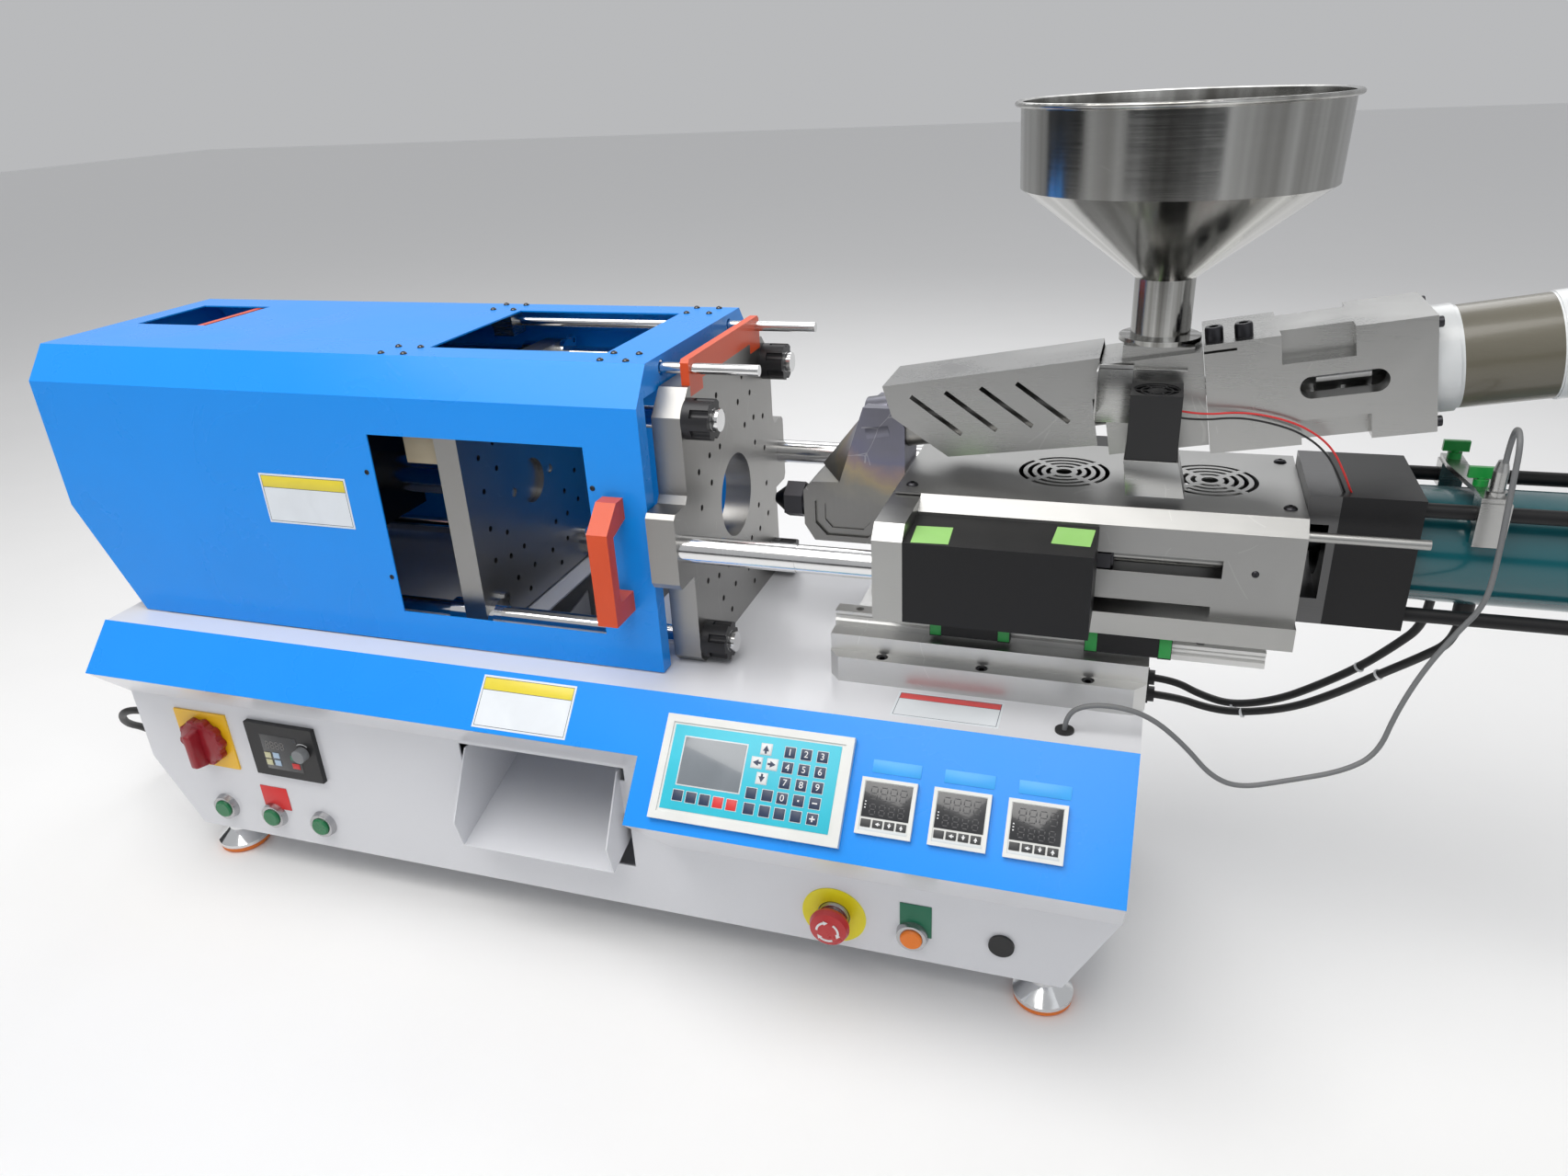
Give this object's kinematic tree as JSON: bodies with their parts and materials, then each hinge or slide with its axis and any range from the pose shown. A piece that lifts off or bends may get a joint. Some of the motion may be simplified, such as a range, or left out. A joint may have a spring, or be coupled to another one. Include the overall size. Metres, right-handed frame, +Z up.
{
  "type": "injection_moulding_machine",
  "caption": "Bench injection moulding machine with a sliding blue hood, an inclined feed barrel with hopper, and a tilted console.",
  "frame": {"origin": "on the floor under the middle of the machine, its cords and plug left out", "axes": "+X from the clamp end to the injection end, +Y away from the operator, +Z up"},
  "size_m": [1.673, 0.6062, 0.7982],
  "materials": {
    "cabinet_paint": "satin white powder coat",
    "blue_paint": "semi-gloss blue powder coat",
    "orange_paint": "semi-gloss orange powder coat",
    "yellow_paint": "semi-gloss yellow paint",
    "teal_paint": "gloss teal paint",
    "olive_paint": "hammered olive paint",
    "black_metal": "black oxide and satin black paint",
    "machined_steel": "milled and ground steel",
    "ground_steel": "ground and hard chromed steel",
    "sheet_steel": "brushed stainless sheet",
    "milled_aluminium": "fine milled aluminium",
    "spun_steel": "polished spun stainless steel",
    "black_plastic": "fine matt black",
    "grey_plastic": "matt grey",
    "panel_plastic": "screen printed membrane",
    "green_plastic": "gloss green",
    "orange_plastic": "gloss orange",
    "red_plastic": "gloss red",
    "orange_rubber": "soft moulded rubber",
    "bronze": "turned bronze",
    "grey_cable": "flexible PVC jacket",
    "black_hose": "smooth black hose"
  },
  "bodies": {
    "machine_base": {"base_cabinet": "cabinet_paint", "console_panel": "blue_paint", "operator_panel": "panel_plastic", "temperature_controllers": "black_plastic", "levelling_feet": "ground_steel", "foot_pads": "orange_rubber", "parts_chute": "sheet_steel", "main_switch_plate": "yellow_paint", "drive_keypad": "black_plastic", "button_bezels": "ground_steel", "cable_fittings": "black_plastic", "cabinet_electronics": "grey_plastic", "fixed_platen": "machined_steel", "rear_platen": "machined_steel", "tie_bars": "ground_steel", "clamp_cylinder": "black_metal", "guide_rods": "ground_steel", "hood_rod_brackets": "orange_paint", "rail_block": "machined_steel", "sensor_cable": "grey_cable", "cylinder_hoses": "black_hose", "mains_lead": "black_hose", "mains_coil": "black_hose", "mains_plug": "black_plastic"},
    "hood": {"safety_hood": "blue_paint", "hood_handles": "orange_paint", "hood_bearings": "milled_aluminium"},
    "clamp": {"moving_platen": "machined_steel", "platen_bushings": "bronze", "clamp_ram": "ground_steel"},
    "ejector_plate": {"ejector": "machined_steel"},
    "carriage": {"rail_carriages": "black_metal", "carriage_frame": "milled_aluminium", "nozzle_block": "machined_steel", "injection_nozzle": "black_metal", "injection_cover": "sheet_steel", "side_boxes": "black_metal", "plasticising_barrel": "machined_steel", "barrel_cover": "sheet_steel", "feed_block": "machined_steel", "hopper": "spun_steel", "drive_housing": "milled_aluminium", "gear_motor": "olive_paint", "feed_fan": "black_plastic", "cylinder_frame": "black_metal", "cylinder_tube": "teal_paint", "sensor_mount": "milled_aluminium"},
    "injection_plunger": {"plunger": "ground_steel"},
    "screw": {"plasticising_screw": "ground_steel"},
    "fan_rotor": {"feed_fan_rotor": "black_plastic"},
    "main_switch": {"main_switch_knob": "red_plastic"},
    "keypad_dial": {"drive_keypad_knob": "grey_plastic"},
    "button_left": {"green_button_left": "green_plastic"},
    "button_middle": {"green_button_middle": "green_plastic"},
    "button_right": {"green_button_right": "green_plastic"},
    "button_start": {"start_button": "orange_plastic"},
    "stop_stem": {"estop_plunger": "ground_steel"},
    "stop_cap": {"estop_cap": "red_plastic"},
    "clamp_screw_rear": {"thumbscrew_rear": "green_plastic"},
    "clamp_screw_front": {"thumbscrew_front": "green_plastic"}
  },
  "joints": [
    {"name": "hood_slide", "type": "slide", "parent": "machine_base", "child": "hood", "axis": [-1, 0, 0], "range_m": [0, 0.25]},
    {"name": "platen_slide", "type": "slide", "parent": "machine_base", "child": "clamp", "axis": [1, 0, 0], "range_m": [-0.045, 0.085]},
    {"name": "ejector_slide", "type": "slide", "parent": "clamp", "child": "ejector_plate", "axis": [1, 0, 0], "range_m": [0, 0.026]},
    {"name": "carriage_slide", "type": "slide", "parent": "machine_base", "child": "carriage", "axis": [-1, 0, 0], "range_m": [0, 0.075]},
    {"name": "plunger_slide", "type": "slide", "parent": "carriage", "child": "injection_plunger", "axis": [1, 0, 0], "range_m": [-0.008, 0.085]},
    {"name": "screw_turn", "type": "hinge", "parent": "carriage", "child": "screw", "pos_m": [0.351, 0.04407, 0.5642], "axis": [0.9863, 0, 0.165], "continuous": true},
    {"name": "fan_turn", "type": "hinge", "parent": "carriage", "child": "fan_rotor", "pos_m": [0.353, -0.01253, 0.5522], "axis": [0, 0, 1], "continuous": true},
    {"name": "main_switch_turn", "type": "hinge", "parent": "machine_base", "child": "main_switch", "pos_m": [-0.636, -0.14243, 0.1717], "axis": [0, -1, 0], "range_deg": [0, 90]},
    {"name": "keypad_dial_turn", "type": "hinge", "parent": "machine_base", "child": "keypad_dial", "pos_m": [-0.497, -0.14243, 0.1777], "axis": [0, -1, 0], "range_deg": [-135, 135]},
    {"name": "button_left_press", "type": "slide", "parent": "machine_base", "child": "button_left", "axis": [0, 1, 0], "range_m": [0, 0.003], "stiffness_N_per_m": 200, "springref_m": -0.002},
    {"name": "button_middle_press", "type": "slide", "parent": "machine_base", "child": "button_middle", "axis": [0, 1, 0], "range_m": [0, 0.003], "stiffness_N_per_m": 200, "springref_m": -0.002},
    {"name": "button_right_press", "type": "slide", "parent": "machine_base", "child": "button_right", "axis": [0, 1, 0], "range_m": [0, 0.003], "stiffness_N_per_m": 200, "springref_m": -0.002},
    {"name": "button_start_press", "type": "slide", "parent": "machine_base", "child": "button_start", "axis": [0, 1, 0], "range_m": [0, 0.003], "stiffness_N_per_m": 200, "springref_m": -0.002},
    {"name": "stop_press", "type": "slide", "parent": "machine_base", "child": "stop_stem", "axis": [0, 1, 0], "range_m": [0, 0.004], "stiffness_N_per_m": 200, "springref_m": -0.002},
    {"name": "stop_twist", "type": "hinge", "parent": "stop_stem", "child": "stop_cap", "pos_m": [0.1014, -0.15243, 0.0832], "axis": [0, -1, 0], "range_deg": [0, 30]},
    {"name": "clamp_screw_rear_turn", "type": "hinge", "parent": "carriage", "child": "clamp_screw_rear", "pos_m": [0.597, 0.08707, 0.5055], "axis": [0, 0, 1], "range_deg": [-180, 180]},
    {"name": "clamp_screw_front_turn", "type": "hinge", "parent": "carriage", "child": "clamp_screw_front", "pos_m": [0.603, 0.02007, 0.5055], "axis": [0, 0, 1], "range_deg": [-180, 180]}
  ]
}
